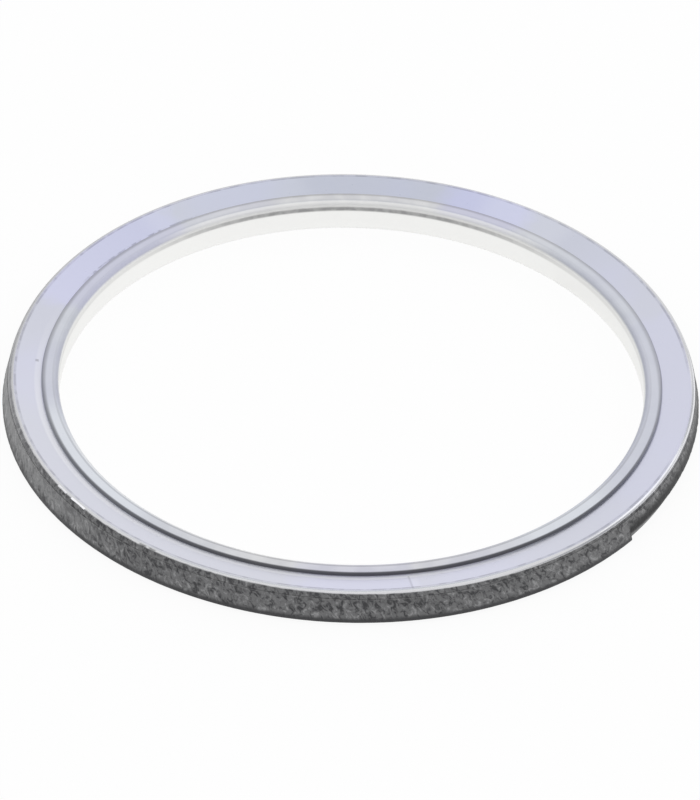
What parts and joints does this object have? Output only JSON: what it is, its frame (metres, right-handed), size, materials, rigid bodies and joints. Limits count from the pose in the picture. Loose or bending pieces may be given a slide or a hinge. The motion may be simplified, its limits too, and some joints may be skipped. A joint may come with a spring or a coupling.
{
  "type": "exhaust gasket",
  "caption": "Flat ring gasket for an exhaust pipe joint: a folded steel jacket with a rolled lip clamps a dished face washer on a pressed graphite filler with a broken rim.",
  "frame": {"origin": "on the ring's axis, in the plane of the jacket's underside, which lies on the lower pipe flange", "axes": "+Z along the pipe's axis, out through the lipped face; -Y towards the picture's camera, +X to its right"},
  "size_m": [0.0999, 0.1, 0.0052],
  "materials": {
    "jacket_steel": "bright cold-rolled sheet, slightly dull and mottled on the lip",
    "washer_steel": "bright polished sheet with fine pits and handling marks",
    "graphite_filler": "matte pressed graphite, speckled dark and light grey"
  },
  "bodies": {
    "root": {"jacket": "jacket_steel", "face_washer": "washer_steel", "filler_ring": "graphite_filler"}
  },
  "joints": []
}
